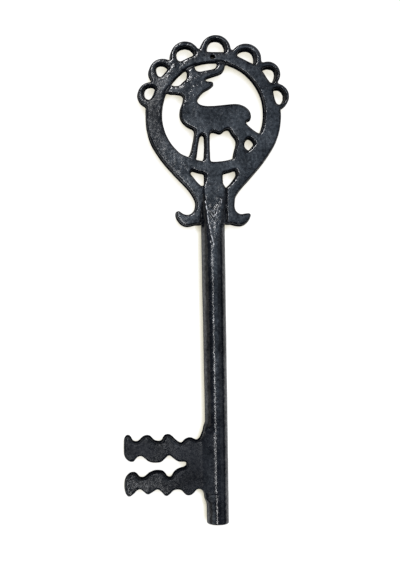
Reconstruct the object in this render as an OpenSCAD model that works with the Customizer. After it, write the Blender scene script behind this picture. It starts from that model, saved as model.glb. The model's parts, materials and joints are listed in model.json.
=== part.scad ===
// Decorative wall key: a ring with an antelope in it, a crown of loops,
// two arms that grip a round shank, and a bit with wavy tines.
// +Z is up as the key hangs, the front faces -Y, and y = 0 is the parting plane.
// The origin is the centre of the hanging hole.

/* [Bow ring] */
// Radius of the opening that the antelope stands in
opening_r = 36; // [33:0.2:38]
// Width of the ring's band at the top
band_w = 6.6; // [5.4:0.2:8]
// How far the opening sits below the middle of the ring
opening_drop = 0.4; // [0:0.1:0.8]
// Height of the ground that the hooves stand on above the opening's lowest point
ground_h = 2.4; // [1:0.2:4]
// Thickness of the flat castings, front to back
plate_t = 8.4; // [7:0.2:10]
// Diameter of the drilled hanging hole
hole_d = 3.2; // [2.6:0.1:4]

/* [Cast edges] */
// How far every edge bulges at the parting line, from the mould's draft
draft_out = 0.4; // [0.2:0.1:0.6]
// How far every edge is drawn in at the faces
face_in = 0.6; // [0.3:0.1:0.8]
// Height of that worn edge, measured from the face
edge_h = 0.8; // [0.4:0.1:1.4]
// Length over which an edge eases into what it seats on
seat_fillet = 1.5; // [0.5:0.1:3]

/* [Crown] */
// Height of the crown above the ring
crown_h = 11.8; // [11:0.2:13]
// Turn of the crown to the right of upright, in degrees
crown_turn = 2.5; // [-3:0.5:4]
// Height of the webs between the loops above the ring
web_h = 3; // [1:0.2:4]

/* [Shank] */
// Diameter of the shank at the neck
shank_d = 16; // [14:0.2:18]
// Diameter of the shank at its tip
tip_d = 14.8; // [13:0.2:16]
// Length from the ring's centre to the shank's tip
shank_l = 286; // [276:1:300]
// Rounding of the shank's tip
tip_round = 2.4; // [1:0.2:4]
// Width of the flat tongue between the windows
tongue_w = 12.8; // [10:0.2:14]
// Length of the tongue from the ring to where it widens
tongue_l = 6; // [4:0.5:8]
// Length over which the tongue swells to the full width
swell_l = 5; // [3:0.5:8]
// Length over which the flats run out into the round
flat_l = 44; // [36:1:56]

/* [Bit] */
// Thickness of the bit
bit_t = 8.4; // [7:0.2:10]
// Height of the bit's middle line above the shank's tip
bit_rise = 40; // [30:1:50]

/* [Hidden] */

iron = [0.13, 0.13, 0.16];
$fn = 96;

// The hanging hole is drilled midway across the band
ring_r = opening_r - opening_drop + band_w;
ring_drop = ring_r - band_w / 2;
// The ground is a shallower arc than the opening, with this many times its radius
ground_flatness = 1.3;
ground_r = ground_flatness * opening_r;
ground_drop = opening_drop + opening_r - ground_h - ground_r;
bit_drop = shank_l - bit_rise;
tongue_end = ring_r + tongue_l;
flat_end = tongue_end + flat_l;
cut_t = 4 * plate_t;
curve_steps = 3;

// The seven loops from left to right, no two of one size, as the carved pattern left them:
// turn from the crown's middle, outer radius, and how far the crest stands above the crown's height
loop_turn = [-75.6, -53, -28, 0.3, 29.2, 52.6, 73.4];
loop_r = [8.6, 9.3, 10, 10.5, 10.7, 8.6, 8.8];
loop_lift = [0.2, 0.6, 0.3, 0.3, 0.6, 1.3, 0.2];
// Their eyes: radius, width of the strip over the eye, and turn of the eye from the loop's middle
eye_r = [3.9, 3.9, 5, 5.6, 5.4, 4.2, 4.2];
strip_w = [3.3, 3.2, 4, 3.7, 3.9, 3.4, 2.8];
eye_turn = [1, 0.3, -0.8, 0.4, -0.6, 0.2, 0.6];

loop_count = len(loop_turn);
function loop_angle(i) = crown_turn + loop_turn[i];
function crest_r(i) = ring_r + crown_h + loop_lift[i];
function loop_depth(i) = crest_r(i) - loop_r[i];
// Angle from a loop's middle out to its side
function half_width(i) = asin(loop_r[i] / loop_depth(i));
// Angle of the seam between loop i and the next, or between the last loop and the arm
function seam_angle(i) =
  i < 0 ? loop_angle(0) - half_width(0)
  : i == loop_count - 1 ? loop_angle(i) + half_width(i)
  : (loop_angle(i) + half_width(i) + loop_angle(i + 1) - half_width(i + 1)) / 2;
function polar(r, a) = [r * sin(a), r * cos(a)];

// Outlines run clockwise in the front view, as [right, up] from the ring's centre: the antelope's
// in hundredths of the opening's radius, and the arms' in hundredths of the ring's.
// A knot with a third value is a sharp corner, and the others lie on a smooth curve.
// Corners that lie past what a piece seats on are held back to it later.
antelope_knots = [
  // Muzzle, from the ring to the brow
  [-96.7, 44.4, 1], [-87.7, 59.8, 1], [-79.9, 53.6, 1], [-73.7, 52.5], [-64.8, 53.4],
  [-58.1, 59.5], [-50.3, 67],
  // Front horn, up to the ring and back
  [-47.8, 75.4], [-49.2, 83.8, 1], [-54.8, 95, 1], [-40.2, 100.6, 1], [-35.2, 88.8, 1], [-33, 83.2],
  // Back horn, along its top, up to the ring and back
  [-26.3, 79.9], [-15.6, 81.6], [0, 84.4], [6.7, 87.7], [10.6, 95, 1], [12.3, 106.2, 1],
  [26.8, 102.8, 1], [24.3, 93.3, 1], [21.8, 86], [16.2, 77.9], [0, 71.8], [-11.2, 68.2],
  // Ear
  [-17.3, 63.1], [-11.2, 60.9], [0.6, 58.7], [-4.5, 50],
  // Back of the neck and the back
  [-18.4, 41.9], [-28.5, 30.7], [-30.7, 22.3], [-23.5, 15.6], [-5.6, 13.4], [22.3, 15.4],
  [44.7, 16.8], [60.3, 12],
  // Rump and tail
  [70.4, 2.2], [72.6, -9.5], [69.6, -14], [63.1, -15.4], [62.9, -20.1], [73.2, -30.7], [83.2, -38.3],
  // Thigh on the ring, and the space behind the leg
  [87.7, -40.8, 1], [103.4, -50.3, 1], [91.1, -63.7, 1], [79.3, -55.9, 1], [74.9, -50.3],
  [67, -47.5], [60.3, -54.8], [59.8, -67],
  // Hind hoof and the front of the hind leg
  [64.2, -71.5, 1], [78.2, -83.8, 1], [45.8, -102.2, 1], [39.1, -87.7, 1], [40.8, -78.2],
  [46.1, -57.3],
  // Flank and belly
  [43.9, -48.6], [36.9, -39.9], [33, -32.4], [29.1, -30.2], [22.3, -31.3], [13.4, -37.7],
  [6.1, -35.8], [-4.5, -34.6],
  // Second foreleg
  [-7.5, -41.9], [-7.3, -83.8], [-7, -93, 1], [-6.7, -106.2, 1], [-22.3, -111.7, 1], [-20.1, -91.9, 1],
  [-16.8, -85.5], [-16.2, -44.7],
  // Gap between the forelegs, and the first foreleg
  [-21.2, -39.7], [-27.4, -44.1], [-33.5, -81], [-36, -87.7, 1], [-41.3, -100.6, 1],
  [-54.2, -93.9, 1], [-47.5, -83.8, 1], [-43, -76.5], [-34.9, -38],
  // Chest, throat and jaw
  [-37.4, -29.6], [-49.7, -23.5], [-61.7, -10.3], [-62.3, 8.4], [-56.1, 27.4], [-59.5, 35.5],
  [-72.6, 38.5], [-82.7, 39.1], [-88.3, 41.3, 1]
];

// Outer side of each arm, down from the crown to the neck, with x counted away from the shank
left_flank_knots = [
  [110.2, -9.5], [107.9, -29.5], [103.3, -44], [98.1, -55], [90.2, -68.3], [77.4, -85],
  [60.2, -103.8], [41.7, -123.8], [33.3, -136.7]
];
right_flank_knots = [
  [111.4, -9.5], [108.8, -30], [104, -44.8], [98.6, -55.7], [90.5, -68.8], [77.9, -85.7],
  [61.2, -104.8], [43.3, -124.8], [35.2, -137.1]
];
// The left hook curls up at its tip
left_hook_knots = [
  [29.5, -146.2], [29.8, -154.8], [32.9, -161.9], [39, -166.7], [46.7, -167.6], [53.3, -164.8],
  [59, -161], [62.1, -163.6], [61.4, -170.7], [56.7, -178.6], [51, -183.3], [43.3, -185],
  [32.9, -182.6], [20.5, -182.4, 1]
];
// The right hook points outwards
right_hook_knots = [
  [33.8, -146.2], [33.3, -154.8], [35.5, -161.9], [39.5, -165.7], [45, -167.4], [52.4, -166.4],
  [57.6, -166], [60, -168.3], [58.1, -173.8], [54.3, -179], [49, -183.1], [42.9, -184.8],
  [35.7, -184], [27.6, -181.7], [20.5, -182.4, 1]
];
// Inner side of each arm, up beside the shank and round the window to the ring
left_window_knots = [
  [4.8, -182.4, 1], [4.8, -133.3, 1], [19, -121.9], [21.9, -119.5], [26.9, -114.8], [34.5, -105.5],
  [39, -99.3],
  [37.9, -93.6]
];
right_window_knots = [
  [4.8, -182.4, 1], [4.8, -133.3, 1], [19, -123.6], [23.1, -121.9], [28.6, -116.4], [35.7, -107.4],
  [38.8, -101.2],
  [37.6, -95.7]
];
// Angle from upright at which the window meets the ring, and the arms' outer radius at the crown
window_angle = 157;
arm_top = 111.4;

// Bit: lower edge, slot and upper edge, from the bit's middle line
bit_knots = [
  [-2, -22, 1], [-7.9, -22, 1], [-8.4, -19], [-10.2, -16.4], [-13.6, -15.2], [-17.8, -19.2],
  [-21.6, -19.4], [-25, -16], [-30, -15.8], [-33.2, -18.6], [-35.8, -20], [-38.4, -17.4],
  [-41.6, -15.2], [-45.2, -17.2], [-48.4, -18.8], [-51.4, -16.6], [-54.4, -15], [-58.2, -18.2],
  [-61.6, -20.2], [-63.9, -17.4], [-63.9, -10], [-61, -5.6], [-57.4, -5], [-54.4, -8.2],
  [-50.8, -8.2], [-46.4, -5], [-41.8, -3.7], [-37.6, -4.4], [-34.9, -8], [-31.8, -8.2],
  [-29.3, -4.6], [-26, -2.4], [-22.4, -1.4], [-20.4, 0.8], [-22.4, 3.2], [-27, 4], [-30.4, 6.4],
  [-33.4, 8.4], [-36.4, 6], [-39.4, 3.6], [-46.6, 3.8], [-49.8, 6], [-52.6, 8], [-55.6, 7.2],
  [-58.6, 4.2], [-61.6, 4.8], [-64.2, 8], [-64.1, 18.6], [-62.6, 21.2], [-60.7, 20.6], [-58.6, 17.2],
  [-54.6, 17], [-50.8, 20.4], [-47.2, 20.6], [-43.4, 17.3], [-38.2, 17.2], [-35.8, 20.9],
  [-32.8, 21.2], [-29, 17.8], [-24.6, 15.2], [-21.6, 18], [-18, 19], [-14, 17.3],
  [-11.4, 19], [-8.7, 24.2], [-7.9, 27, 1], [-2, 27, 1]
];

function unit(v) = v / norm(v);
function is_sharp(k) = len(k) == 3;
function flat(k) = [k.x, k.y];
function scaled(k, s) = is_sharp(k) ? [s * k.x, s * k.y, 1] : [s * k.x, s * k.y];
// One point of the curve from knot b to knot c, which leaves b along bd and reaches c along cd
function between(b, c, bd, cd, t) =
  let (l = norm(c - b))
  (2 * t^3 - 3 * t^2 + 1) * b + (t^3 - 2 * t^2 + t) * l * bd
  + (3 * t^2 - 2 * t^3) * c + (t^3 - t^2) * l * cd;
// Closed outline through the knots
function outline(knots) = [
  for (i = [0 : len(knots) - 1])
    let (
      n = len(knots),
      a = flat(knots[(i + n - 1) % n]), b = flat(knots[i]),
      c = flat(knots[(i + 1) % n]), d = flat(knots[(i + 2) % n]),
      b_sharp = is_sharp(knots[i]), c_sharp = is_sharp(knots[(i + 1) % n]),
      steps = b_sharp && c_sharp ? 1 : curve_steps
    )
    for (s = [0 : steps - 1])
      between(b, c, unit(b_sharp ? c - b : c - a), unit(c_sharp ? c - b : d - b), s / steps)
];
// The same outline moved outwards by w, but only as far as free(p), from 0 to 1, lets each point
function grown(path, w, free) = [
  for (i = [0 : len(path) - 1])
    let (n = len(path), t = unit(path[(i + 1) % n] - path[(i + n - 1) % n]))
    path[i] + w * free(path[i]) * [-t.y, t.x]
];
// Freedom of an edge at a distance from its seat: none there, and all of it further off
function freedom(distance) = max(0, min(1, distance / seat_fillet));

// The point p, or the nearest to it that isn't outside the circle
function held(p, middle, r) = norm(p - middle) > r ? middle + r * unit(p - middle) : p;

// Half section of a cast edge: [how far it stands out, height above the parting plane]
function edge(t) = [
  [-face_in, t / 2], [0, t / 2 - edge_h], [draft_out, 0], [0, edge_h - t / 2], [-face_in, -t / 2]
];

// Flat casting with the given outline, drafted both ways from the parting plane.
// free(p) says how far an edge may move there, and seat(p, e) holds the point p of the level
// e = [stand-out, height] back to the neighbours.
module cast_plate(path, t, free, seat) {
  n = len(path);
  levels = edge(t);
  last = len(levels) - 1;
  points = [
    for (e = levels) for (p = grown(path, e[0], free))
      let (q = seat(p, e)) [q.x, -e[1], q.y]
  ];
  faces = concat(
    [[for (i = [0 : n - 1]) i]],
    [[for (i = [n - 1 : -1 : 0]) last * n + i]],
    [for (k = [0 : last - 1]) for (i = [0 : n - 1])
      let (a = k * n + i, b = k * n + (i + 1) % n)
      each [[a, a + n, b + n], [a, b + n, b]]]
  );
  resize([0, t, 0])
    polyhedron(points, faces, convexity = 10);
}

// Round casting of radius r with the same edge, and the hole of radius r through one
module cast_disc(r, t) {
  rotate([90, 0, 0])
    rotate_extrude()
      polygon(concat([[0, t / 2]], [for (e = edge(t)) [r + e[0], e[1]]], [[0, -t / 2]]));
}
module cast_hole(r, t) {
  rotate([90, 0, 0])
    rotate_extrude()
      polygon(concat(
        [[0, t], [r + face_in, t]],
        [for (e = edge(t)) [r - e[0], e[1]]],
        [[r + face_in, -t], [0, -t]]
      ));
}
// Plain round block about the y axis
module round_block(r, t) {
  rotate([90, 0, 0])
    cylinder(r = r, h = t, center = true);
}
// Wedge of the front view between two angles from upright
module wedge(from, to) {
  reach = 2 * (ring_r + crown_h);
  rotate([90, 0, 0])
    linear_extrude(cut_t, center = true)
      polygon([[0, 0], polar(reach, from), polar(reach, (from + to) / 2), polar(reach, to)]);
}
module at_ring_centre() {
  translate([0, 0, -ring_drop])
    children();
}

// The ring: square on its outer face, where the loops and arms seat
module bow_ring() {
  color(iron)
    difference() {
      at_ring_centre()
        difference() {
          round_block(ring_r, plate_t);
          intersection() {
            translate([0, 0, -opening_drop])
              cast_hole(opening_r, plate_t);
            translate([0, 0, -ground_drop])
              cast_hole(ground_r, plate_t);
          }
        }
      round_block(hole_d / 2, cut_t);
    }
}

// One loop, drawn upright and then turned to its place: a disc with webs at its feet, an eye,
// and a seat on the ring
module crown_loop(i) {
  turn = loop_angle(i);
  color(iron)
    at_ring_centre()
      rotate([0, turn, 0])
        difference() {
          difference() {
            intersection() {
              union() {
                translate([0, 0, loop_depth(i)])
                  cast_disc(loop_r[i], plate_t);
                round_block(ring_r + web_h, plate_t);
              }
              wedge(seam_angle(i - 1) - turn, seam_angle(i) - turn);
            }
            round_block(ring_r, cut_t);
          }
          rotate([0, eye_turn[i], 0])
            translate([0, 0, crest_r(i) - strip_w[i] - eye_r[i]])
              cast_hole(eye_r[i], plate_t);
        }
}

// The antelope, whose hooves, horns and muzzle seat on the wall of the ring's opening
module antelope() {
  path = outline([for (k = antelope_knots) scaled(k, opening_r / 100)]);
  opening_mid = [0, -opening_drop];
  ground_mid = [0, -ground_drop];
  off_wall = function(p)
    min(freedom(opening_r - norm(p - opening_mid)), freedom(ground_r - norm(p - ground_mid)));
  in_opening = function(p, e)
    held(held(p, opening_mid, opening_r - e[0]), ground_mid, ground_r - e[0]);
  color(iron)
    at_ring_centre()
      cast_plate(path, plate_t, off_wall, in_opening);
}

// Radius of the bar at a depth below the ring's centre, and half its width at a height off its axis
function bar_r(depth) =
  depth < flat_end ? shank_d / 2
  : shank_d / 2 - (shank_d - tip_d) / 2 * (depth - flat_end) / (shank_l - flat_end);
function half_bar(depth, y) = sqrt(bar_r(depth)^2 - y^2);
module bar() {
  end_r = bar_r(shank_l);
  rotate_extrude()
    polygon(concat(
      [[0, 0], [bar_r(0), 0], [bar_r(0), -flat_end]],
      [for (a = [0 : 15 : 90])
        [end_r - tip_round + tip_round * cos(a), -shank_l + tip_round - tip_round * sin(a)]],
      [[0, -shank_l]]
    ));
}
// Side view of the flats, front and back, that bring the round bar down to the plate
module flats() {
  half = plate_t / 2;
  r = shank_d / 2;
  rotate([90, 0, 90])
    linear_extrude(2 * shank_d, center = true)
      polygon([
        [-half, 0], [-half, -tongue_end], [-r, -flat_end], [-r, -shank_l - 1],
        [r, -shank_l - 1], [r, -flat_end], [half, -tongue_end], [half, 0]
      ]);
}
// Front view of the bar: the tongue, then the swell to its full width
module swell() {
  half = tongue_w / 2;
  r = shank_d / 2 + 1;
  rotate([90, 0, 0])
    linear_extrude(cut_t, center = true)
      polygon(concat(
        [[-half, 0]],
        [for (t = [0 : 0.2 : 1]) [-half - (r - half) * t^2, -tongue_end - swell_l * t]],
        [[-r, -shank_l - 1], [r, -shank_l - 1]],
        [for (t = [1 : -0.2 : 0]) [half + (r - half) * t^2, -tongue_end - swell_l * t]],
        [[half, 0]]
      ));
}
module shank_body() {
  intersection() {
    bar();
    flats();
    swell();
  }
}
module shank() {
  color(iron)
    at_ring_centre()
      difference() {
        shank_body();
        round_block(ring_r, cut_t);
      }
}

// One arm: from the last loop down the flank to the hook, seated on the loop, ring and shank
module arm(flank_knots, hook_knots, window_knots, seam) {
  past_seam = 2;
  inside_ring = 93;
  arc_steps = 12;
  arc = [
    for (i = [0 : arc_steps])
      let (a = window_angle + (seam - past_seam - window_angle) * i / arc_steps)
      concat(polar(inside_ring, a), 1)
  ];
  top = [concat(polar(arm_top, seam - past_seam), 1)];
  knots = concat(top, flank_knots, hook_knots, window_knots, arc);
  path = outline([for (k = knots) scaled(k, ring_r / 100)]);
  up = polar(1, seam - 90);
  below_loop = function(p) p - max(0, p * up) * up;
  off_ring = function(p) norm(p) < ring_r ? ring_r * unit(p) : p;
  off_shank = function(p, y) [max(p.x, -p.y > tongue_end ? half_bar(-p.y, y) : p.x), p.y];
  free = function(p) min(freedom(-p * up), freedom(norm(p) - ring_r), freedom(p.x - shank_d / 2));
  cast_plate(path, plate_t, free, function(p, e) off_shank(off_ring(below_loop(p)), e[1]));
}
module left_arm() {
  color(iron)
    at_ring_centre()
      mirror([1, 0, 0])
        arm(left_flank_knots, left_hook_knots, left_window_knots, -seam_angle(-1));
}
module right_arm() {
  color(iron)
    at_ring_centre()
      arm(right_flank_knots, right_hook_knots, right_window_knots, seam_angle(loop_count - 1));
}

// The bit, coped to the round of the shank
module bit() {
  free = function(p) freedom(-p.x - shank_d / 2);
  on_shank = function(p, e) [min(p.x, -half_bar(bit_drop - p.y, e[1])), p.y];
  color(iron)
    at_ring_centre()
      translate([0, 0, -bit_drop])
        cast_plate(outline(bit_knots), bit_t, free, on_shank);
}

bow_ring();
crown_loop(0);  // crown_loop_1
crown_loop(1);  // crown_loop_2
crown_loop(2);  // crown_loop_3
crown_loop(3);  // crown_loop_4
crown_loop(4);  // crown_loop_5
crown_loop(5);  // crown_loop_6
crown_loop(6);  // crown_loop_7
antelope();
left_arm();
right_arm();
shank();
bit();
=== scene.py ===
"""The decorative wall key as cast iron under worn black paint, hung close in front of a white wall.

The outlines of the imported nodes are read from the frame. They are turned into one soft-edged casting,
held as a field of signed distances in millimetres, and each node is given its own closed piece of it.
"""

import json
import math

import bmesh
import bpy
import numpy as np
from mathutils import Matrix, Vector

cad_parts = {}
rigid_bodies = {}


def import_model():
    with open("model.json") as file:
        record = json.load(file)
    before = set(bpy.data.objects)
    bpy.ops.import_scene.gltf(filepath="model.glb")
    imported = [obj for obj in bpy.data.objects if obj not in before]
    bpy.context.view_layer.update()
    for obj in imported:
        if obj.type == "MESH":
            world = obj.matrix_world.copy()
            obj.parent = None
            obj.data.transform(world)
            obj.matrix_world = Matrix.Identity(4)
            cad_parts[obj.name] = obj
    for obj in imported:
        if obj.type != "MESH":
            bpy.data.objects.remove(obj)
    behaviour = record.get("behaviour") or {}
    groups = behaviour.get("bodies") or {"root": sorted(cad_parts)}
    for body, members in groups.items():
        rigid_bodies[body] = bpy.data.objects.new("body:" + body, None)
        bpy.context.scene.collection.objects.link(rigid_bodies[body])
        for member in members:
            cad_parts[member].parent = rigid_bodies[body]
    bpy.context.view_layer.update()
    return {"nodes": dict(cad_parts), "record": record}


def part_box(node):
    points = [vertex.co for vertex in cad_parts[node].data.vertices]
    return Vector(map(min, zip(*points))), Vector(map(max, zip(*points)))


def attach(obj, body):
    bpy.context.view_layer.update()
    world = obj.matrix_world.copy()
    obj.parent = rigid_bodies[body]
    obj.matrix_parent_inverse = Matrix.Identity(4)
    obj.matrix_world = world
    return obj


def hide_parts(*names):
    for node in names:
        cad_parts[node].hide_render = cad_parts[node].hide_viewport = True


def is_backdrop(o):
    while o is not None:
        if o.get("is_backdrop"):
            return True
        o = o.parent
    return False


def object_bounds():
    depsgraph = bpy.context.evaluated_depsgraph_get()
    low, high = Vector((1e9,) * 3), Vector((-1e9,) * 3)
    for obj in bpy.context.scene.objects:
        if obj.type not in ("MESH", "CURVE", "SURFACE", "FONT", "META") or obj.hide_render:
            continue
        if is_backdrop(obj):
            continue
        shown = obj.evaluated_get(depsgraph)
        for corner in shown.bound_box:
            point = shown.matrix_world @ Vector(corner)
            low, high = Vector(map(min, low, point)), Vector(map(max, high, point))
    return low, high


MM = 0.001

# The nodes with a part of their own in the casting: the round bar, and the ring with the hanging hole
ROUND_NODE = "shank"
HOLE_NODE = "bow_ring"

# The grid of the casting, in millimetres: its cell, its margins, how far distances are worked out, and how
# far inside the box of the construction it stays
CELL = 0.4
SHEET_MARGIN = 2.0
DEPTH_MARGIN = 3 * CELL
REACH = 6.0
BOX_CLEARANCE = 0.03

# How the nodes are read, in millimetres: points closer than this are one, the cut beside the parting plane,
# the length of outline that is tested for lying inside another node, and how close two equal sizes are
SAME_POINT = 0.002
CUT_BESIDE = 0.02
TESTED_LENGTH = 0.8
SAME_SIZE = 0.01
# Heights of the bar's tip and of the tongue's top over which their widths are read
TIP_PART = 6.0
TONGUE_PART = 1.5
# How far beside the bar the pieces that seat on it are read, to be carried on to its middle
ROOT_BESIDE = 0.8
# How far round the hanging hole the outline is left out, because the hole is cut last
HOLE_BORDER = 0.5

# The flat casting, in millimetres: roundings of its edges, how much further in than at the back its walls are
# at the front, how far out they are at the back, the softening of its outline, and its inner fillets
FRONT_ROUND = 1.2
BACK_ROUND = 0.4
DRAFT = 0.7
GROWTH = 0.4
CORNER_BLUR = 0.45
INNER_CORNER = 0.8
# How far the faces sink towards the edges, and over which distance
BEVEL_DROP = 0.25
BEVEL_WIDTH = 1.1
# How far the back edges of the upper openings rise at their tops, and the heights above the ring's centre
# between which that sets in
TOP_LIFT = 1.2
TOP_LIFT_FROM = (-20.0, 10.0)

# The bar, in millimetres: fillets to the bow and to the bit, and roundings of the scarf, tongue and tip
BOW_FILLET = 0.5
BIT_FILLET = 5.5
SCARF_ROUND = 1.0
TONGUE_ROUND = 0.6
TIP_ROUND = 1.0
# How fast the scarf sinks into the flat casting above the tongue's foot
SCARF_FALL = 0.6
# The bar is wider below the tongue's foot: distance below it and share there, and how much wider at most
TONGUE_SPREAD = ((0.0, 0.0), (5.0, 1.0), (17.0, 1.0), (27.0, 0.0))
TONGUE_WIDER = 0.14
# Length below its foot over which the tongue's sides stop being those of the flat casting
TONGUE_JOIN = 6.0
# The bar leans: height above its tip and how far right its centre is there
BAR_LEAN = ((0.0, 0.35), (207.0, -0.85), (226.0, 0.3), (232.0, 0.0))
# How much wider than deep the bar is
BAR_WIDER = 1.03
# Length below the tongue's foot over which the bar swells from the tongue's width, how far past its own sides
# it is let out there, and how far above the foot it ends
SWELL = 5.0
SWELL_PAST = 0.5
BAR_LAP = 1.0

# The grain of the casting: size of the lumps and how far they stand out, in millimetres
GRAIN = ((11.0, 0.10), (4.0, 0.09), (1.5, 0.10))
GRAIN_SEED = 11
# Share of their height by which the lumps lie deeper
GRAIN_DEEPER = 0.1
# The grit of an ordinary place, the grit at which the finer lumps have their full height, and the most
EVEN_GRIT = 0.35
FULL_GRIT = 0.7
MOST_GRIT = 2

# The bulge of a point compares it with points this many cells away, by distances up to this limit
BULGE_CELLS = 2
BULGE_LIMIT = 1.5

# Grooves left by the pattern, in millimetres right and up from the ring's centre:
# points along the groove, depth, and half width
GROOVES = (
    # Muzzle, front horn and back horn against the ring
    (((-34.2, 12.6), (-32.6, 15.6), (-30.6, 18.6)), 1.2, 0.9),
    (((-20.4, 29.4), (-16.6, 31.6), (-12.0, 33.6)), 1.2, 0.9),
    (((2.8, 35.4), (6.4, 35.2), (10.4, 33.9)), 1.4, 1.0),
    # Both sides of the flat end of the shank, between the arms
    (((-7.4, -52.6), (-7.4, -59.8), (-7.9, -64.0), (-8.9, -69.6), (-9.8, -76.0)), 1.8, 0.5),
    (((-8.3, -70.0), (-8.3, -77.0)), 1.8, 0.7),
    (((8.4, -53.0), (8.3, -61.0), (8.0, -66.5), (8.5, -71.0), (8.3, -76.0)), 1.9, 0.5),
)

# Ridges on the slope of the shank, given in the same way
RIDGES = (
    (((-6.4, -62.0), (-5.2, -69.5), (-4.7, -74.5), (-3.8, -80.0), (-2.4, -86.0), (-0.9, -92.5)), 0.4, 0.55),
    (((-5.6, -68.0), (-3.0, -69.2), (-0.9, -73.0), (1.2, -70.0), (2.6, -65.0)), 0.35, 0.55),
    (((4.9, -60.5), (4.2, -65.0), (2.0, -66.0)), 0.3, 0.5),
)

# The eyes of the loops from left to right, as the carved pattern left them on the front, in millimetres
# from the ring's centre: more pointed and longer than the plain eyes of the construction
EYES = (
    ((-48.9, 14.2), (-48.6, 16.4), (-47.3, 18.5), (-44.9, 19.6), (-41.9, 19.7), (-39.3, 18.5), (-39.5, 16.7),
     (-40.6, 14.1), (-42, 11.5), (-43.9, 9.7), (-45.1, 9.4), (-46.8, 10.3), (-48.3, 12.3)),
    ((-40.3, 30.1), (-40.3, 32.3), (-39.2, 34), (-36.7, 35), (-33.5, 34.6), (-31.1, 33.1), (-29.9, 31.5),
     (-31.9, 29.5), (-34, 27), (-35.7, 25.4), (-37, 25.2), (-38.6, 26.4), (-39.7, 28.3)),
    ((-25.9, 40.1), (-26.1, 42.3), (-25, 44.4), (-22.6, 46), (-18.9, 46.7), (-15.2, 45.8), (-12.6, 43.5),
     (-11.7, 40.9), (-14.7, 39.3), (-18.2, 37.9), (-21.2, 36.3), (-22.7, 35.9), (-24.4, 36.9), (-25.4, 38.4)),
    ((-4.4, 42.5), (-4.6, 44.4), (-4.3, 46.7), (-3.2, 49.1), (-1.2, 51), (1.8, 51.7),
     (5.3, 51.1), (7.9, 49.1), (9.3, 46.3), (9.7, 43.7), (9.2, 42.1)),
    ((16.2, 40.3), (17.8, 42.9), (20.8, 44.2), (24, 44.5), (26.9, 43.6), (28.9, 41.6),
     (30, 38.7), (30.2, 35.8), (29.5, 33.4), (27.9, 33.8), (22.8, 36.4), (17.5, 39.1)),
    ((33.4, 30.3), (36.1, 31.5), (38.8, 32), (42, 31.3), (43.9, 29.7), (44.7, 27), (44.3, 24.4),
     (43.2, 21.7), (41.6, 20.1), (39.5, 20.8), (37.7, 23.4), (36.1, 26.1), (34.5, 28.5)),
    ((41.3, 16), (43.5, 17), (46.7, 16.9), (49, 15.2), (50.5, 12.6), (50.6, 9.4),
     (49.2, 6.7), (47.1, 5.1), (45.2, 5.2), (43.8, 6.2), (42.8, 8.9), (42.1, 12.1)),
)
# How far inside these outlines the eyes are cut, and how much metal round them is filled in before that
EYE_INSIDE = 0.3
EYE_FILL = 1.2
# How much narrower the eyes are at the back, and over which distance from their edges
EYE_TAPER = 1.1
EYE_EDGE = 2.6

# The round inner end of the slot in the bit, in millimetres from the ring's centre: left, right, up, radius
SLOT_END = (-28.6, -22.8, -244.3, 1.75)

# Rough places, in millimetres from the ring's centre: right, up, half width, half height, strength
ROUGH = (
    (-41.0, -2.0, 9.0, 30.0, 0.6),
    (-26.0, 30.0, 10.0, 9.0, 0.25),
    (-26.0, -37.0, 9.0, 9.0, 0.5),
    (-16.0, 17.0, 7.0, 8.0, 0.5),
    (0.0, -75.0, 6.5, 13.0, 1.5),
    (-58.0, -246.0, 13.0, 24.0, 0.8),
)

# Places with thick, dull paint, given in the same way
THICK_PAINT = (
    (-41.0, -2.0, 9.0, 30.0, 0.8),
    (-15.0, -246.0, 8.0, 30.0, 0.6),
    (-20.0, -246.0, 14.0, 30.0, 0.9),
    (-50.0, -246.0, 25.0, 30.0, 0.75),
    (-56.0, -232.0, 18.0, 8.0, 0.7),
)

# Colours of the paint where it is thin and full, the painted shade in corners, and of the iron under it
THIN_PAINT = (0.004, 0.005, 0.008, 1)
FULL_PAINT = (0.010, 0.012, 0.018, 1)
CORNER_PAINTED_SHADE = (0.002, 0.002, 0.003, 1)
BARE_IRON = (0.36, 0.36, 0.37, 1)

# The patterns of the paint: waves per metre, and detail and roughness where they aren't the usual ones
CLOUD_NOISE = (60.0,)
MOTTLE_NOISE = (480.0, 5.0, 0.7)
GRAIN_NOISE = (600.0, 2.0)
SAND_NOISE = (1100.0, 2.0)

# Spans of the paint: the values between which a look comes up, and its amounts there if not 0 and 1
CLOUD_COLOUR = (0.35, 0.65)
CORNER_DULL_AND_SHADE = (-0.3, -1.6)
SPECK_SAND = (0.56, 0.70)
SPECK_GRAIN = (0.44, 0.62)
SPECK_GRIT = (0.2, 1.5, 0.10, 0.75)
RUBBED_EDGE = (0.5, 1.8)
RUBBED_GRAIN = (0.42, 0.64)
UNDER_THICK = (0.5, 1.2, 1.0, 0.0)
WORN_RIDGE = (0.08, 0.3)
WORN_GRAIN = (0.38, 0.56, 0.1, 1.0)
CLOUD_ROUGH = (0.35, 0.7, 0.12, 0.2)
CLOUD_SHINE = (0.35, 0.65, 0.6, 1.3)
MOTTLE_SHINE = (0.38, 0.62, 0.45, 1.5)
THICK_SHINE = (0.0, 1.0, 0.5, 0.2)
GRIT_BUMP = (0.3, 1.5, 0.14, 0.8)
# Metres from the axis of the hanging hole within which the shine is taken away as painted shade that keeps
# the hole dark, and how squarely a face looks to the front or back
BORE_SHINE = (0.0016, 0.0022)
FLAT_SHINE = (0.1, 0.5)

# Amounts in the paint: metal on rubbed edges, roughness added by dull or bare places, by thick paint and on
# side walls, the shares of the two fine patterns in the bump, and its height in metres
RUBBED_METAL = 0.35
DULL_ROUGHNESS = 0.3
THICK_ROUGHNESS = 0.2
SIDE_ROUGHNESS = 0.6
GRAIN_SHARE = 0.7
SAND_SHARE = 0.3
BUMP_HEIGHT = 0.0004

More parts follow.
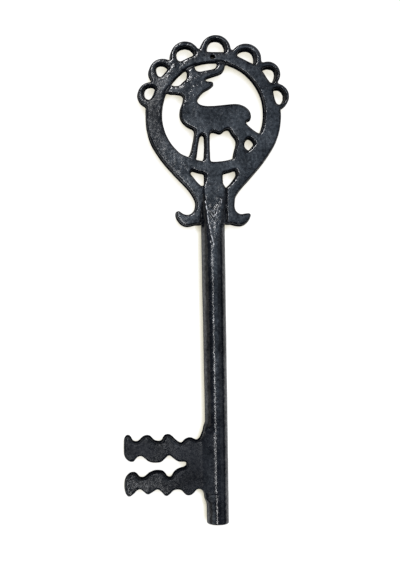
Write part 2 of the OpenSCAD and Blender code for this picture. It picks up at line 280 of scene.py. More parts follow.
# The wall: gap behind the key and half size, in millimetres, its colours as a surface, and their pattern
WALL_GAP = 0.1
WALL_HALF = 1500.0
WALL_TONES = ((0.115, 0.115, 0.11, 1), (0.125, 0.125, 0.12, 1))
WALL_NOISE = (30.0,)
# How far shade from the key reaches on the wall, in millimetres, where the light comes from that the key
# takes away, the colours from deep shade to none, how open the wall is there, and the middle colour's share
WALL_SHADE = 6.8
WALL_TILT = (0.3, -0.75, 0.6)
SHADE_SAMPLES = 16
SHADE_DEEP = (0.012, 0.011, 0.007, 1)
SHADE_MIDDLE = (0.76, 0.72, 0.58, 1)
SHADE_NONE = (1.0, 1.0, 1.0, 1)
SHADE_OPEN = (0.28, 0.8)
MIDDLE_SHARE = 0.7
# A painted shadow on the wall behind the hanging hole, which shows dark through it: its place in millimetres,
# and the distances from it in metres between which the wall turns white again
HOLE_SHADOW_SPOT = (0.6, 8.1, 2.3)
HOLE_SHADOW_EDGE = (0.003, 0.004)

# How bright white is to the camera, on the wall and in the world, and the world's strength as a light
WHITE_LEVEL = 1.02
ROOM_LIGHT = 0.03

# The lights, in metres and watts, all turned to the same point: name, place, size, power, colour
LIT_POINT = (0, 0, -0.15)
WHITE = (1, 1, 1)
LIGHTS = (
    ("strip", (-0.18, -1.5, -0.4), (0.05, 1.1), 5, WHITE),
    ("strip_top", (-0.2, -1.5, 0.7), (0.14, 0.5), 11, WHITE),
    ("front_centre", (0.08, -1.5, 0.03), (1.1, 0.95), 3.5, (0.68, 0.83, 1.0)),
    ("front_low", (0.03, -1.5, 0.12), (0.26, 0.2), 0.18, (0.8, 0.9, 1.0)),
    ("front_right", (1.1, -1.1, -0.1), (1.1, 1.4), 1.9, (0.85, 0.93, 1.0)),
    ("upper_right", (0.75, -1.1, 0.95), (0.9, 0.9), 3, WHITE),
    ("left_side", (-1.5, -0.45, -0.15), (0.9, 1.6), 2.0, (1.0, 0.94, 0.78)),
    ("low_left", (-1.0, -1.0, -0.88), (0.9, 0.5), 2.0, (0.8, 0.9, 1.0)),
    ("behind", (-1.1, 1.1, -0.45), (1.1, 1.6), 4.5, (0.8, 0.9, 1.0)),
    ("behind", (1.1, 1.1, -0.45), (1.1, 1.6), 4.5, (0.8, 0.9, 1.0)),
)

# The camera stands left of the shank near the key's half height, in millimetres, and sees the bow from below
CAMERA = (-47.5, -600.0, -168.3)
CAMERA_ROLL = math.radians(0.65)
CAMERA_LENS = 54.2
CAMERA_SENSOR = 36.0
CAMERA_SHIFT = (0.093, 0.026)
# Nothing nearer than this is drawn, in metres
CAMERA_NEAREST = 0.01


def smooth_min(a, b, reach):
    """The lower of two fields, with a fillet of about reach where they cross."""
    near = np.clip(0.5 + 0.5 * (b - a) / reach, 0, 1)
    return b + (a - b) * near - reach * near * (1 - near)


def round_both(a, b, radius):
    """The overlap of two fields, with its outer edge rounded."""
    out = np.hypot(np.maximum(a + radius, 0), np.maximum(b + radius, 0))
    return out + np.minimum(np.maximum(a, b) + radius, 0) - radius


def blurred(field, cells):
    """A small Gaussian blur along both axes of a flat field."""
    reach = max(1, math.ceil(3 * cells))
    weights = np.exp(-0.5 * (np.arange(-reach, reach + 1) / cells) ** 2)
    weights /= weights.sum()
    for axis in (0, 1):
        padded = np.pad(field, [(reach, reach) if a == axis else (0, 0) for a in (0, 1)], mode="edge")
        size = field.shape[axis]
        field = sum(
            weight * np.take(padded, np.arange(k, k + size), axis=axis)
            for k, weight in enumerate(weights)
        )
    return field


def outline(node):
    """The node's outline on the parting plane, as segments of (x, z) pairs in millimetres."""
    mesh = bmesh.new()
    mesh.from_mesh(frame["nodes"][node].data)
    bmesh.ops.remove_doubles(mesh, verts=mesh.verts, dist=SAME_POINT * MM)
    cut = bmesh.ops.bisect_plane(
        mesh, geom=mesh.verts[:] + mesh.edges[:] + mesh.faces[:],
        plane_co=(0, CUT_BESIDE * MM, 0), plane_no=(0, 1, 0),
    )["geom_cut"]
    edges = [edge for edge in cut if isinstance(edge, bmesh.types.BMEdge)]
    segments = np.array([[(v.co.x / MM, v.co.z / MM) for v in edge.verts] for edge in edges])
    mesh.free()
    return segments


class Sheet:
    """A flat grid of cells over the parting plane."""

    def __init__(self, low, high, step):
        self.step = step
        self.x = np.arange(low[0], high[0] + step, step)
        self.z = np.arange(low[1], high[1] + step, step)

    def column(self, x):
        return int(np.clip(round((x - self.x[0]) / self.step), 0, len(self.x) - 1))

    def row(self, z):
        return int(np.clip(round((z - self.z[0]) / self.step), 0, len(self.z) - 1))

    def inside(self, segments):
        """True where a cell lies inside the closed outline, by counting crossings along each row."""
        crossings = np.zeros((len(self.x) + 1, len(self.z)), dtype=np.int32)
        for (x0, z0), (x1, z1) in segments:
            if z0 == z1:
                continue
            rows = np.arange(*np.searchsorted(self.z, (min(z0, z1), max(z0, z1))))
            at = x0 + (self.z[rows] - z0) * (x1 - x0) / (z1 - z0)
            np.add.at(crossings, (np.searchsorted(self.x, at), rows), 1)
        return np.cumsum(crossings, axis=0)[:-1] % 2 == 1

    def distance(self, segments, reach):
        """Distance of every cell from the nearest segment, up to reach."""
        field = np.full((len(self.x), len(self.z)), float(reach))
        for (x0, z0), (x1, z1) in segments:
            i0, i1 = np.searchsorted(self.x, (min(x0, x1) - reach, max(x0, x1) + reach))
            j0, j1 = np.searchsorted(self.z, (min(z0, z1) - reach, max(z0, z1) + reach))
            x = self.x[i0:i1, None]
            z = self.z[None, j0:j1]
            dx, dz = x1 - x0, z1 - z0
            along = ((x - x0) * dx + (z - z0) * dz) / max(dx * dx + dz * dz, 1e-12)
            along = np.clip(along, 0, 1)
            away = np.hypot(x - x0 - along * dx, z - z0 - along * dz)
            field[i0:i1, j0:j1] = np.minimum(field[i0:i1, j0:j1], away)
        return field


def on_the_outside(segments, solid, sheet):
    """Drops the stretches of an outline that lie inside another node, which are hidden seats."""
    probe = 2 * sheet.step
    kept = []
    for a, b in segments:
        length = float(np.hypot(*(b - a)))
        parts = max(1, math.ceil(length / TESTED_LENGTH))
        normal = np.array([a[1] - b[1], b[0] - a[0]]) / max(length, 1e-9)
        for k in range(parts):
            start = a + (b - a) * k / parts
            end = a + (b - a) * (k + 1) / parts
            middle = (start + end) / 2
            sides = [middle + side * probe * normal for side in (-1, 1)]
            if all(solid[sheet.column(p[0]), sheet.row(p[1])] for p in sides):
                continue
            kept.append((start, end))
    return kept


def sizes_from_frame():
    """The few sizes of the casting that the field needs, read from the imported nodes, in millimetres."""
    ring_low, ring_high = (Vector(corner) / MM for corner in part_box(HOLE_NODE))
    shank_low, shank_high = (Vector(corner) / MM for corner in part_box(ROUND_NODE))
    all_low, all_high = (Vector(corner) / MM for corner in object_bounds())
    points = np.array([v.co for v in frame["nodes"][ROUND_NODE].data.vertices]) / MM
    tip = points[points[:, 2] < shank_low.z + TIP_PART]
    tongue = points[points[:, 2] > shank_high.z - TONGUE_PART]
    full = points[np.abs(points[:, 1]) > shank_high.y - SAME_SIZE]
    flat = points[np.abs(np.abs(points[:, 1]) - ring_high.y) < SAME_SIZE]
    return {
        "low": all_low, "high": all_high,
        "centre_z": (ring_low.z + ring_high.z) / 2,
        "plate_half": ring_high.y,
        "bar_r": shank_high.y,
        "tip_r": float(tip[:, 0].max()),
        "tip_z": shank_low.z,
        "tongue_half": float(tongue[:, 0].max()),
        "round_from_z": float(full[:, 2].max()),
        "foot_z": float(flat[:, 2].min()),
        "hole_r": frame["record"]["mounts"][0]["dims"]["r_mm"],
    }


def sheet_over(sizes):
    """A sheet over the whole casting, with a margin round it."""
    low = (sizes["low"].x - SHEET_MARGIN, sizes["low"].z - SHEET_MARGIN)
    high = (sizes["high"].x + SHEET_MARGIN, sizes["high"].z + SHEET_MARGIN)
    return Sheet(low, high, CELL)


def filleted(field, sheet):
    """The field with every inner corner of its outline rounded to the radius of the pattern's fillets."""
    points = []
    for axis in (0, 1):
        levels = np.moveaxis(field, axis, 0) - INNER_CORNER
        near, far = levels[:-1], levels[1:]
        i, j = np.nonzero((near > 0) != (far > 0))
        along = i + near[i, j] / (near[i, j] - far[i, j])
        columns, rows = (along, j) if axis == 0 else (j, along)
        places = zip(sheet.x[0] + columns * sheet.step, sheet.z[0] + rows * sheet.step)
        points += [((x, z), (x, z)) for x, z in places]
    away = sheet.distance(points, REACH)
    grown = np.where(field > INNER_CORNER, field, INNER_CORNER - away)
    return np.where(away < REACH, np.minimum(field, grown), field)


def eye_field(sheet, sizes):
    """Signed distance from the eyes of the loops: negative in an eye."""
    eyes = []
    for points in EYES:
        corners = np.array(points) + (0, sizes["centre_z"])
        walls = list(zip(corners, np.roll(corners, -1, axis=0)))
        away = sheet.distance(walls, REACH)
        eyes.append(np.where(sheet.inside(walls), -away, away) + EYE_INSIDE)
    return np.min(eyes, axis=0)


def slot_field(sheet, sizes):
    """Signed distance from the metal round the slot's inner end: positive in the slot."""
    left, right, up, radius = SLOT_END
    along = np.clip(sheet.x, left, right)[:, None]
    return radius - np.hypot(sheet.x[:, None] - along, sheet.z[None, :] - sizes["centre_z"] - up)


def plate_field(sheet, outlines, sizes):
    """Signed distance from the whole flat casting's outline: negative inside, seats left out."""
    plate_nodes = [node for node in outlines if node != ROUND_NODE]
    below = sheet.z < sizes["foot_z"]
    bar = sheet.inside(outlines[ROUND_NODE])
    solid = bar & ~below
    for node in plate_nodes:
        solid |= sheet.inside(outlines[node])
    for side in (-1, 1):
        edge = sheet.column(side * (sizes["bar_r"] + ROOT_BESIDE))
        first, last = sorted((edge, sheet.column(0)))
        solid[first:last + 1, solid[edge] & below] = True
    for axis in (0, 1):
        solid |= np.roll(solid, 1, axis=axis) & np.roll(solid, -1, axis=axis)
    eye = eye_field(sheet, sizes)
    solid |= eye < EYE_FILL
    filled = solid | bar
    hole_edge = sizes["hole_r"] + HOLE_BORDER
    segments = []
    for node in plate_nodes:
        walls = outlines[node]
        if node == HOLE_NODE:
            walls = [wall for wall in walls if np.hypot(*wall[0]) > hole_edge]
        segments += on_the_outside(walls, filled, sheet)
    tongue = [wall for wall in outlines[ROUND_NODE] if wall[:, 1].max() > sizes["foot_z"]]
    segments += on_the_outside(tongue, filled, sheet)
    away = sheet.distance(segments, REACH)
    hole = np.hypot(sheet.x[:, None], sheet.z[None, :]) < hole_edge
    field = np.where(solid | hole, -away, away)
    field = np.maximum(field, -eye)
    field = np.maximum(field, slot_field(sheet, sizes))
    return blurred(filleted(field, sheet), CORNER_BLUR / sheet.step)


def node_map(sheet, outlines):
    """For each cell, the number of the node whose outline is nearest."""
    signed = []
    for segments in outlines.values():
        away = sheet.distance(segments, 2 * REACH)
        signed.append(np.where(sheet.inside(segments), -away, away))
    return np.argmin(signed, axis=0) + 1


def lumps(shape, size, seed):
    """Smooth random lumps of the given size in cells, between -1 and 1."""
    random = np.random.default_rng(seed)
    coarse = [max(4, math.ceil(n / size) + 3) for n in shape]
    field = random.standard_normal(coarse).astype(np.float32)
    for axis, count in enumerate(shape):
        at = np.arange(count) / size
        first = np.floor(at).astype(int)
        part = (at - first).astype(np.float32)
        part = part * part * (3 - 2 * part)
        part = part.reshape([-1 if a == axis else 1 for a in range(3)])
        near = np.take(field, first, axis=axis)
        far = np.take(field, first + 1, axis=axis)
        field = near + (far - near) * part
    return np.clip(field, -2, 2) / 2


def patches(sheet, sizes, places, base):
    """Soft patches on an even base, over the parting plane."""
    x = sheet.x[:, None]
    up = sheet.z[None, :] - sizes["centre_z"]
    amount = np.full((len(sheet.x), len(sheet.z)), base)
    for right, above, wide, high, strength in places:
        amount += strength * np.exp(-((x - right) / wide) ** 2 - ((up - above) / high) ** 2)
    return amount.astype(np.float32)


def line_map(sheet, sizes, lines):
    """How deep the grooves, or how high the ridges, are over the parting plane."""
    deep = np.zeros((len(sheet.x), len(sheet.z)))
    for points, depth, half_width in lines:
        path = np.array(points) + (0, sizes["centre_z"])
        away = sheet.distance(list(zip(path[:-1], path[1:])), REACH)
        deep = np.maximum(deep, depth * np.exp(-((away / half_width) ** 2)))
    return deep.astype(np.float32)


def flat_field(sheet, plate, sizes, y, towards_front):
    """The flat casting over x, y and z, with its draft, bevelled faces, grooves and rounded edges."""
    half = sizes["plate_half"] - line_map(sheet, sizes, GROOVES)
    half -= BEVEL_DROP * np.exp(np.minimum(plate, 0) / BEVEL_WIDTH)
    draft = DRAFT * towards_front - GROWTH
    faces_down = np.clip(-np.gradient(plate, sheet.step, axis=1), 0, 1)
    lift = TOP_LIFT * faces_down * np.interp(sheet.z - sizes["centre_z"], TOP_LIFT_FROM, (0, 1))
    taper = EYE_TAPER * np.clip(1 - np.abs(eye_field(sheet, sizes)) / EYE_EDGE, 0, 1)
    sides = plate.astype(np.float32)[:, None, :] + draft
    sides += (lift - taper).astype(np.float32)[:, None, :] * (1 - towards_front)
    rounding = np.where(y < 0, FRONT_ROUND, BACK_ROUND).astype(np.float32)
    return round_both(sides, np.abs(y) - half.astype(np.float32)[:, None, :], rounding)


def bar_field(sheet, sizes, x, y, z, towards_front):
    """The round bar over x, y and z, with its slope and its flat tongue at the top."""
    run = np.clip((sizes["round_from_z"] - z) / (sizes["round_from_z"] - sizes["tip_z"]), 0, 1)
    radius = sizes["bar_r"] + (sizes["tip_r"] - sizes["bar_r"]) * run
    lean = np.interp(z - sizes["tip_z"], *np.transpose(BAR_LEAN)).astype(np.float32)
    spread = np.interp(sizes["foot_z"] - z, *np.transpose(TONGUE_SPREAD)).astype(np.float32)
    like_plate = np.clip(1 - (sizes["foot_z"] - z) / TONGUE_JOIN, 0, 1)
    bar_x = (x - lean) / (1 + (BAR_WIDER - 1) * (1 - like_plate) + TONGUE_WIDER * spread)
    bar = np.hypot(bar_x, y) - radius
    slope = (z - sizes["round_from_z"]) / (sizes["foot_z"] - sizes["round_from_z"])
    scarf = sizes["bar_r"] + (sizes["plate_half"] - sizes["bar_r"]) * np.clip(slope, 0, 1)
    scarf = scarf - SCARF_FALL * np.maximum(z - sizes["foot_z"], 0)
    ridges = line_map(sheet, sizes, RIDGES)[:, None, :]
    bar = round_both(bar, np.abs(y) - scarf - ridges, SCARF_ROUND)
    swell = np.clip((sizes["foot_z"] - z) / SWELL, 0, 1)
    width = sizes["tongue_half"] + (sizes["bar_r"] + SWELL_PAST - sizes["tongue_half"]) * swell ** 2
    draft = DRAFT * towards_front - GROWTH
    bar = round_both(bar, np.abs(bar_x) - width + draft * like_plate, TONGUE_ROUND)
    bar = round_both(bar, sizes["tip_z"] - z, TIP_ROUND)
    return np.maximum(bar, z - sizes["foot_z"] - BAR_LAP)


def casting_field(sheet, plate, sizes):
    """The whole casting as a field over x, y and z, and the levels of y."""
    half_y = sizes["bar_r"] + DEPTH_MARGIN
    levels = np.arange(-half_y, half_y + CELL, CELL, dtype=np.float32)
    x = sheet.x.astype(np.float32)[:, None, None]
    y = levels[None, :, None]
    z = sheet.z.astype(np.float32)[None, None, :]
    towards_front = np.clip(0.5 - 0.5 * y / sizes["plate_half"], 0, 1)

    flat = flat_field(sheet, plate, sizes, y, towards_front)
    bar = bar_field(sheet, sizes, x, y, z, towards_front)
    fillet = np.where(z > sizes["round_from_z"], BOW_FILLET, BIT_FILLET)
    field = smooth_min(flat, bar, fillet.astype(np.float32))
    grit = patches(sheet, sizes, ROUGH, EVEN_GRIT)[:, None, :]
    for k, (size, height) in enumerate(GRAIN):
        amount = height if k == 0 else height * np.minimum(grit, MOST_GRIT) / FULL_GRIT
        field += amount * (lumps(field.shape, size / CELL, GRAIN_SEED + k) + GRAIN_DEEPER)
    field = np.maximum(field, sizes["hole_r"] - np.hypot(x, z))

    low, high = sizes["low"], sizes["high"]
    field = np.maximum(field, np.maximum(low.x - x, x - high.x) + BOX_CLEARANCE)
    field = np.maximum(field, np.maximum(low.z - z, z - high.z) + BOX_CLEARANCE)
    field = np.maximum(field, np.abs(y) - high.y + BOX_CLEARANCE)
    return field.astype(np.float32), levels


def bulge(field):
    """How far the casting stands out round each point: above 0 on edges, below 0 in corners."""
    total = np.zeros_like(field)
    inner = np.clip(field, -BULGE_LIMIT, BULGE_LIMIT)
    for axis in range(3):
        near = np.roll(inner, BULGE_CELLS, axis=axis)
        far = np.roll(inner, -BULGE_CELLS, axis=axis)
        total += near + far - 2 * inner
    return total


class Skin:
    """The surface of the labelled casting, with one point in every cell that a border passes through."""

    def __init__(self, field, owner, corner):
        label = np.where(field < 0, owner, 0).astype(np.int8)
        shape = [n - 1 for n in field.shape]
        corners = [(i, j, k) for i in (0, 1) for j in (0, 1) for k in (0, 1)]

        def part(grid, offset):
            return grid[tuple(slice(o, o + n) for o, n in zip(offset, shape))]

        low = part(label, corners[0]).copy()
        high = low.copy()
        for offset in corners[1:]:
            np.minimum(low, part(label, offset), out=low)
            np.maximum(high, part(label, offset), out=high)
        cells = np.flatnonzero(low != high)
        self.number = np.full(low.size, -1, dtype=np.int32)
        self.number[cells] = np.arange(len(cells))
        self.number = self.number.reshape(shape)
        place = np.stack(np.unravel_index(cells, shape), axis=1)
        values = {c: field[tuple((place + c).T)] for c in corners}
        labels = {c: label[tuple((place + c).T)] for c in corners}

        skin_sum = np.zeros((len(cells), 3))
        skin_count = np.zeros(len(cells))
        seam_sum = np.zeros((len(cells), 3))
        seam_count = np.zeros(len(cells))
        for a in corners:
            for axis in range(3):
                if a[axis]:
                    continue
                b = tuple(1 if n == axis else v for n, v in enumerate(a))
                on_skin = (labels[a] == 0) != (labels[b] == 0)
                on_seam = (labels[a] != labels[b]) & ~on_skin
                gap = values[a] - values[b]
                share = np.where(on_skin, values[a] / np.where(on_skin, gap, 1), 0.5)
                at = np.repeat(np.array([a], dtype=float), len(cells), axis=0)
                at[:, axis] += share
                skin_sum[on_skin] += at[on_skin]
                skin_count += on_skin
                seam_sum[on_seam] += at[on_seam]
                seam_count += on_seam
        inner = np.where(
            (skin_count > 0)[:, None],
            skin_sum / np.maximum(skin_count, 1)[:, None],
            seam_sum / np.maximum(seam_count, 1)[:, None],
        )
        self.cell = place
        self.points = corner + (place + inner) * CELL
        self.quads, self.sides = self.faces(label)
        self.normals = self.point_normals()

    def faces(self, label):
        """A quad round every grid edge whose two ends differ, turned towards the far end."""
        quads, sides = [], []
        for axis in range(3):
            u, v = (axis + 1) % 3, (axis + 2) % 3
            near = label.take(range(label.shape[axis] - 1), axis=axis)
            far = label.take(range(1, label.shape[axis]), axis=axis)
            found = np.argwhere(near != far)
            found = found[(found[:, u] > 0) & (found[:, v] > 0)]
            found = found[(found[:, u] < label.shape[u] - 1) & (found[:, v] < label.shape[v] - 1)]
            ring = []
            for du, dv in ((-1, -1), (0, -1), (0, 0), (-1, 0)):
                at = found.copy()
                at[:, u] += du
                at[:, v] += dv
                ring.append(self.number[tuple(at.T)])
            quads.append(np.stack(ring, axis=1))
            sides.append(np.stack([near[tuple(found.T)], far[tuple(found.T)]], axis=1))
        return np.concatenate(quads), np.concatenate(sides)

    def point_normals(self):
        """Normals of the whole skin, so that no border between nodes shows in its shading."""
        skin = (self.sides == 0).any(axis=1)
        quads = self.quads[skin]
        outwards = np.where(self.sides[skin, 0] == 0, -1.0, 1.0)
        p = self.points[quads]
        cross = np.cross(p[:, 2] - p[:, 0], p[:, 3] - p[:, 1]) * outwards[:, None]
        total = np.zeros_like(self.points)
        for k in range(4):
            for axis in range(3):
                total[:, axis] += np.bincount(quads[:, k], cross[:, axis], minlength=len(total))
        return total / np.maximum(np.linalg.norm(total, axis=1), 1e-12)[:, None]

    def piece(self, name, owner, traits):
        """The closed mesh object of one node."""
        ahead = self.sides[:, 0] == owner
        behind = self.sides[:, 1] == owner
        quads = np.concatenate([self.quads[ahead], self.quads[behind][:, ::-1]])
        on_skin = np.concatenate([self.sides[ahead, 1] == 0, self.sides[behind, 0] == 0])
        used, flat = np.unique(quads, return_inverse=True)
        quads = flat.reshape(quads.shape)
        mesh = bpy.data.meshes.new(name)
        mesh.vertices.add(len(used))
        mesh.vertices.foreach_set("co", (self.points[used] * MM).ravel())
        mesh.loops.add(quads.size)
        mesh.loops.foreach_set("vertex_index", quads.ravel())
        mesh.polygons.add(len(quads))
        mesh.polygons.foreach_set("loop_start", np.arange(0, quads.size, 4))
        mesh.polygons.foreach_set("use_smooth", on_skin)
        mesh.update(calc_edges=True)
        for trait, values in traits.items():
            layer = mesh.attributes.new(trait, "FLOAT", "POINT")
            layer.data.foreach_set("value", values[used].astype(np.float32))
        normals = self.normals[used][quads]
        seam = ~on_skin
        p = self.points[used][quads[seam]]
        cross = np.cross(p[:, 2] - p[:, 0], p[:, 3] - p[:, 1])
        cross /= np.maximum(np.linalg.norm(cross, axis=1), 1e-12)[:, None]
        normals[seam] = cross[:, None, :]
        mesh.normals_split_custom_set(normals.reshape(-1, 3).tolist())
        piece = bpy.data.objects.new(name, mesh)
        bpy.context.collection.objects.link(piece)
        return piece


class Shader:
    """A short way to build one material's nodes."""

    def __init__(self, name):
        self.material = bpy.data.materials.new(name)
        self.material.use_nodes = True
        self.tree = self.material.node_tree
        self.tree.nodes.clear()
        self.output = self.add("ShaderNodeOutputMaterial")

    def add(self, kind, settings=None, **inputs):
        """A new node with its settings and its inputs, whose names are given with _ for a space."""
        node = self.tree.nodes.new(kind)
        for key, value in (settings or {}).items():
            setattr(node, key, value)
        for key, value in inputs.items():
            self.set(node, key.replace("_", " "), value)
        return node

    def set(self, node, key, value):
        """Gives an input, called by its name or number, a value or a link from an output."""
        socket = node.inputs[key]
        if isinstance(value, bpy.types.NodeSocket):
            self.tree.links.new(value, socket)
        else:
            socket.default_value = value

    def place(self):
        return self.add("ShaderNodeTexCoord").outputs["Object"]

    def attribute(self, name):
        return self.add("ShaderNodeAttribute", {"attribute_name": name}).outputs["Fac"]

    def noise(self, place, scale, detail=4.0, roughness=0.55):
        node = self.add("ShaderNodeTexNoise", Scale=scale, Detail=detail, Roughness=roughness, Vector=place)
        return node.outputs["Fac"]

    def span(self, value, low, high, to_low=0.0, to_high=1.0):
        """The value carried over from the span low to high to the span to_low to to_high."""
        node = self.add(
            "ShaderNodeMapRange", {"clamp": True}, Value=value,
            From_Min=low, From_Max=high, To_Min=to_low, To_Max=to_high,
        )
        return node.outputs["Result"]

    def math(self, operation, *values):
        node = self.add("ShaderNodeMath", {"operation": operation})
        for number, value in enumerate(values):
            self.set(node, number, value)
        return node.outputs["Value"]

    def product(self, first, *others):
        for other in others:
            first = self.math("MULTIPLY", first, other)
        return first

    def vector_math(self, operation, output, *values):
        node = self.add("ShaderNodeVectorMath", {"operation": operation})
        for number, value in enumerate(values):
            self.set(node, number, value)
        return node.outputs[output]

    def mix(self, amount, a, b):
        """Colour a with the amount of colour b in it: the node has its colours at inputs 6 and 7."""
        node = self.add("ShaderNodeMix", {"data_type": "RGBA"})
        for number, value in ((0, amount), (6, a), (7, b)):
            self.set(node, number, value)
        return node.outputs[2]


def iron_paint(name):
    """Worn black paint over sand-cast iron, glossy and rubbed to bare metal in specks and on edges."""
    paint = Shader(name)
    span = paint.span
    place = paint.place()
    edge = paint.attribute("bulge")
    grit = paint.attribute("grit")
    thick = paint.attribute("thick_paint")
    ridge = paint.attribute("worn")
    cloud = paint.noise(place, *CLOUD_NOISE)
    mottle = paint.noise(place, *MOTTLE_NOISE)
    grain = paint.noise(place, *GRAIN_NOISE)
    sand = paint.noise(place, *SAND_NOISE)

    # Where the paint is dull in corners, with painted shade that darkens its colour there, and where it is
    # gone
    corner_dull_and_shade = span(edge, *CORNER_DULL_AND_SHADE)
    speck = paint.product(span(sand, *SPECK_SAND), span(grain, *SPECK_GRAIN), span(grit, *SPECK_GRIT))
    rubbed = paint.product(span(edge, *RUBBED_EDGE), span(grain, *RUBBED_GRAIN), RUBBED_METAL)
    bare = paint.product(paint.math("MAXIMUM", speck, rubbed), span(thick, *UNDER_THICK))
    worn = paint.product(span(ridge, *WORN_RIDGE), span(grain, *WORN_GRAIN))
    bare = paint.math("MAXIMUM", bare, worn)
    colour = paint.mix(span(cloud, *CLOUD_COLOUR), THIN_PAINT, FULL_PAINT)
    # Painted shade: the colour turns nearly black in corners
    colour = paint.mix(corner_dull_and_shade, colour, CORNER_PAINTED_SHADE)
    colour = paint.mix(bare, colour, BARE_IRON)

    # How it shines: not in the bore, where taking the shine away is painted shade that keeps the hole dark,
    # and not on side walls, which are rough as well
    off_axis = paint.vector_math("LENGTH", "Value", paint.vector_math("MULTIPLY", "Vector", place, (1, 0, 1)))
    facing = paint.add("ShaderNodeSeparateXYZ", Vector=paint.add("ShaderNodeNewGeometry").outputs["Normal"])
    flat = span(paint.math("ABSOLUTE", facing.outputs["Y"]), *FLAT_SHINE)
    shine = paint.product(
        span(cloud, *CLOUD_SHINE), span(mottle, *MOTTLE_SHINE), span(thick, *THICK_SHINE),
        span(off_axis, *BORE_SHINE), flat,
    )
    rough = span(cloud, *CLOUD_ROUGH)
    for amount in (
        paint.product(paint.math("MAXIMUM", corner_dull_and_shade, bare), DULL_ROUGHNESS),
        paint.product(thick, THICK_ROUGHNESS),
        paint.product(paint.math("SUBTRACT", 1.0, flat), SIDE_ROUGHNESS),
    ):
        rough = paint.math("ADD", rough, amount)

    height = paint.math("ADD", paint.product(grain, GRAIN_SHARE), paint.product(sand, SAND_SHARE))
    bump = paint.add("ShaderNodeBump", Distance=BUMP_HEIGHT, Height=height, Strength=span(grit, *GRIT_BUMP))
    body = paint.add(
        "ShaderNodeBsdfPrincipled", Base_Color=colour, Metallic=bare, Roughness=rough,
        Specular_IOR_Level=shine, Normal=bump.outputs["Normal"],
    )
    paint.set(paint.output, "Surface", body.outputs["BSDF"])
    return paint.material


def wall_paint(name):
    """White wall that is seen only from its front, with faint shade close to the key."""
    paint = Shader(name)
    span = paint.span
    place = paint.place()
    matt = paint.add("ShaderNodeBsdfDiffuse", Color=paint.mix(paint.noise(place, *WALL_NOISE), *WALL_TONES))
    tilt = paint.add("ShaderNodeCombineXYZ", **dict(zip("XYZ", WALL_TILT)))
    around = paint.add(
        "ShaderNodeAmbientOcclusion", {"samples": SHADE_SAMPLES},
        Distance=WALL_SHADE * MM, Normal=tilt.outputs["Vector"],
    )
    # Painted shadow: the wall is darkened round a spot behind the hanging hole
    from_hole_shadow = paint.vector_math("DISTANCE", "Value", place, Vector(HOLE_SHADOW_SPOT) * MM)
    open_here = paint.product(span(around.outputs["AO"], *SHADE_OPEN), span(from_hole_shadow, *HOLE_SHADOW_EDGE))
    shade = paint.mix(span(open_here, 0.0, MIDDLE_SHARE), SHADE_DEEP, SHADE_MIDDLE)
    shade = paint.mix(span(open_here, MIDDLE_SHARE, 1.0), shade, SHADE_NONE)

    rays = paint.add("ShaderNodeLightPath").outputs
    seen = paint.math("MAXIMUM", rays["Is Camera Ray"], rays["Is Glossy Ray"])
    seen = paint.math("MAXIMUM", seen, rays["Is Transmission Ray"])
    glow = paint.add("ShaderNodeEmission", Color=shade, Strength=paint.product(seen, WHITE_LEVEL))
    lit = paint.add("ShaderNodeAddShader")
    paint.set(lit, 0, matt.outputs["BSDF"])
    paint.set(lit, 1, glow.outputs["Emission"])
    clear = paint.add("ShaderNodeBsdfTransparent")
    from_behind = paint.add("ShaderNodeNewGeometry").outputs["Backfacing"]
    hidden = paint.math("MAXIMUM", from_behind, rays["Is Shadow Ray"])
    both = paint.add("ShaderNodeMixShader")
    for number, value in enumerate((hidden, lit.outputs["Shader"], clear.outputs["BSDF"])):
        paint.set(both, number, value)
    paint.set(paint.output, "Surface", both.outputs["Shader"])
    return paint.material


def wall(sizes):
    """The wall close behind the key, which is part of the stage."""
    back = (sizes["high"].y + WALL_GAP) * MM
    half = WALL_HALF * MM
    mesh = bpy.data.meshes.new("wall")
    corners = [(-half, back, -half), (half, back, -half), (half, back, half), (-half, back, half)]
    mesh.from_pydata(corners, [], [(0, 1, 2, 3)])
    mesh.materials.append(wall_paint("white_wall"))
    plane = bpy.data.objects.new("wall", mesh)
    bpy.context.collection.objects.link(plane)
    plane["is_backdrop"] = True


def lights():
    """The area lights."""
    for name, place, size, power, colour in LIGHTS:
        lamp = bpy.data.lights.new(name, "AREA")
        lamp.shape = "RECTANGLE"
        lamp.size, lamp.size_y = size
        lamp.energy = power
        lamp.color = colour
        holder = bpy.data.objects.new(name, lamp)
        holder.location = place
        holder.rotation_euler = (Vector(LIT_POINT) - Vector(place)).to_track_quat("-Z", "Y").to_euler()
        bpy.context.collection.objects.link(holder)


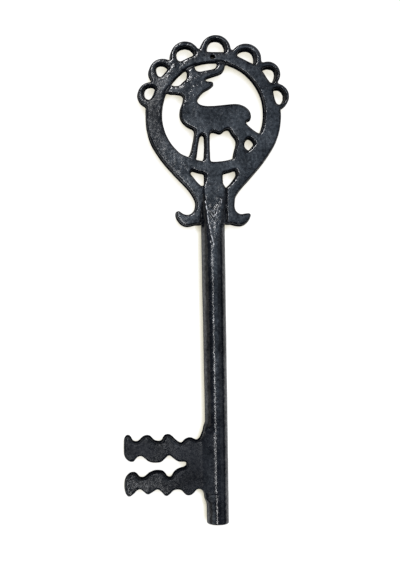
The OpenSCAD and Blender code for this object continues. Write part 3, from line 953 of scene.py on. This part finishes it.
def room():
    """The world: white where it is looked at from behind the wall, and dim as a light."""
    world = bpy.data.worlds.new("room")
    world.use_nodes = True
    tree = world.node_tree
    background = tree.nodes["Background"]
    background.inputs["Color"].default_value = (1, 1, 1, 1)
    seen = tree.nodes.new("ShaderNodeLightPath").outputs["Is Camera Ray"]
    strength = tree.nodes.new("ShaderNodeMapRange")
    strength.inputs["To Min"].default_value = ROOM_LIGHT
    strength.inputs["To Max"].default_value = WHITE_LEVEL
    tree.links.new(seen, strength.inputs["Value"])
    tree.links.new(strength.outputs["Result"], background.inputs["Strength"])
    bpy.context.scene.world = world


def camera():
    """The photograph's camera, which looks straight at the wall."""
    lens = bpy.data.cameras.new("photo_camera")
    lens.sensor_fit = "VERTICAL"
    lens.sensor_height = CAMERA_SENSOR
    lens.sensor_width = CAMERA_SENSOR
    lens.lens = CAMERA_LENS
    lens.shift_x, lens.shift_y = CAMERA_SHIFT
    lens.clip_start = CAMERA_NEAREST
    holder = bpy.data.objects.new("photo_camera", lens)
    right = Vector((math.cos(CAMERA_ROLL), 0, -math.sin(CAMERA_ROLL)))
    above = Vector((math.sin(CAMERA_ROLL), 0, math.cos(CAMERA_ROLL)))
    turn = Matrix((right, above, Vector((0, -1, 0)))).transposed()
    holder.matrix_world = Matrix.Translation(Vector(CAMERA) * MM) @ turn.to_4x4()
    bpy.context.collection.objects.link(holder)
    bpy.context.scene.camera = holder


for leftover in list(bpy.data.objects):
    bpy.data.objects.remove(leftover)
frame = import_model()

sizes = sizes_from_frame()
outlines = {node: outline(node) for node in frame["nodes"]}
sheet = sheet_over(sizes)
casting, levels = casting_field(sheet, plate_field(sheet, outlines, sizes), sizes)
owner = node_map(sheet, outlines)[:, None, :]
skin = Skin(casting, owner, np.array([sheet.x[0], levels[0], sheet.z[0]]))
on_sheet = (skin.cell[:, 0], skin.cell[:, 2])
traits = {
    "bulge": bulge(casting)[tuple(skin.cell.T)],
    "grit": patches(sheet, sizes, ROUGH, EVEN_GRIT)[on_sheet],
    "thick_paint": patches(sheet, sizes, THICK_PAINT, 0.0)[on_sheet],
    "worn": line_map(sheet, sizes, RIDGES)[on_sheet],
}
paint = iron_paint("black_paint_over_iron")
for number, node in enumerate(outlines, start=1):
    piece = skin.piece(node + "_casting", number, traits)
    piece.data.materials.append(paint)
    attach(piece, "root")
    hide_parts(node)

wall(sizes)
lights()
room()
camera()
bpy.context.scene.view_settings.view_transform = "Standard"
